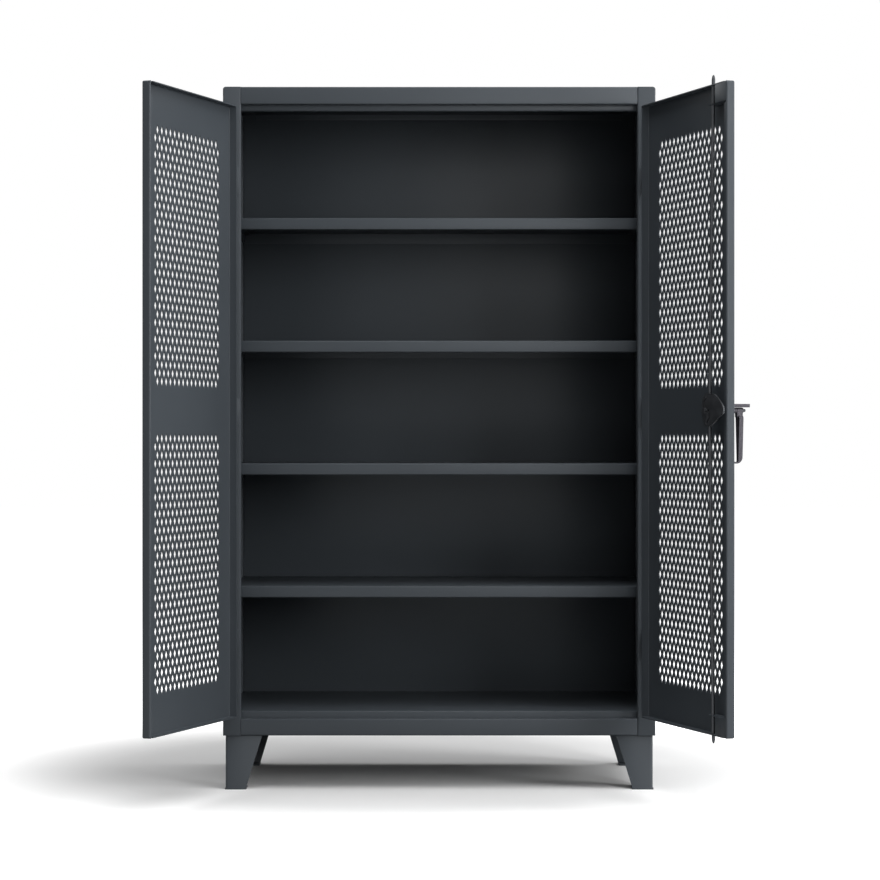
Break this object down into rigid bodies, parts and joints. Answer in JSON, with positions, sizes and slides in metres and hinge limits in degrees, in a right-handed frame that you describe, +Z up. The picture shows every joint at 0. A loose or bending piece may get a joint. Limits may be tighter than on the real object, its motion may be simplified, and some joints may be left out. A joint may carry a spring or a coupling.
{
  "type": "steel storage cabinet",
  "caption": "Tall welded steel storage cabinet on folded legs, with adjustable shelves, ventilated double doors and a three-point lock with a pull handle",
  "frame": {"origin": "on the floor under the middle of the overall footprint with both doors open at rest", "axes": "+X to the right as seen from the front, +Y from the doors to the back panel, +Z up"},
  "size_m": [1.5952, 1.195, 1.9812],
  "materials": {
    "paint": "semi-gloss powder coat",
    "zinc": "zinc plated",
    "cast": "cast and plated"
  },
  "bodies": {
    "carcass": {"left_side_panel": "paint", "right_side_panel": "paint", "back_panel": "paint", "top_panel": "paint", "header_rail": "paint", "bottom_rail": "paint", "top_door_stop": "paint", "floor_pan": "paint", "leg_front_left": "paint", "leg_front_right": "paint", "leg_rear_left": "paint", "leg_rear_right": "paint", "upright_front_left": "paint", "upright_front_right": "paint", "upright_rear_left": "paint", "upright_rear_right": "paint", "shelf_1": "paint", "shelf_2": "paint", "shelf_3": "paint", "shelf_4": "paint", "shelf_bracket_1_left": "paint", "shelf_bracket_1_right": "paint", "shelf_bracket_2_left": "paint", "shelf_bracket_2_right": "paint", "shelf_bracket_3_left": "paint", "shelf_bracket_3_right": "paint", "shelf_bracket_4_left": "paint", "shelf_bracket_4_right": "paint", "left_frame_leaf_1": "paint", "left_frame_leaf_2": "paint", "left_frame_leaf_3": "paint", "right_frame_leaf_1": "paint", "right_frame_leaf_2": "paint", "right_frame_leaf_3": "paint", "left_hinge_pin_1": "zinc", "left_hinge_pin_2": "zinc", "left_hinge_pin_3": "zinc", "right_hinge_pin_1": "zinc", "right_hinge_pin_2": "zinc", "right_hinge_pin_3": "zinc"},
    "left_door": {"left_door_panel": "paint", "left_door_leaf_1": "paint", "left_door_leaf_2": "paint", "left_door_leaf_3": "paint"},
    "right_door": {"right_door_panel": "paint", "right_door_leaf_1": "paint", "right_door_leaf_2": "paint", "right_door_leaf_3": "paint", "handle_base": "cast", "padlock_hasp": "cast", "spindle_collar": "zinc", "upper_rod_guide": "paint", "lower_rod_guide": "paint"},
    "handle": {"handle": "cast", "spindle": "zinc", "cam_latch": "zinc", "cam_nut": "zinc"},
    "upper_rod": {"upper_lock_rod": "zinc"},
    "lower_rod": {"lower_lock_rod": "zinc"}
  },
  "joints": [
    {"name": "left_door_hinge", "type": "hinge", "parent": "carcass", "child": "left_door", "pos_m": [-0.61156, -0.0197, 1.0648], "axis": [0, 0, 1], "range_deg": [-65.6, 109.4]},
    {"name": "right_door_hinge", "type": "hinge", "parent": "carcass", "child": "right_door", "pos_m": [0.56184, -0.0197, 1.0648], "axis": [0, 0, -1], "range_deg": [-66, 109]},
    {"name": "handle_turn", "type": "hinge", "parent": "right_door", "child": "handle", "pos_m": [0.71344, -0.4833, 1.0635], "axis": [0.9455, 0.3256, 0], "range_deg": [0, 90]},
    {"name": "upper_rod_slide", "type": "slide", "parent": "right_door", "child": "upper_rod", "axis": [-0.012, -0.0041, -0.9999], "range_m": [0, 0.022]},
    {"name": "lower_rod_slide", "type": "slide", "parent": "right_door", "child": "lower_rod", "axis": [-0.0121, -0.0042, 0.9999], "range_m": [0, 0.022]}
  ],
  "couplings": [
    {"joint": "upper_rod_slide", "follows": "handle_turn", "m_per_rad": 0.014},
    {"joint": "lower_rod_slide", "follows": "handle_turn", "m_per_rad": 0.014}
  ]
}
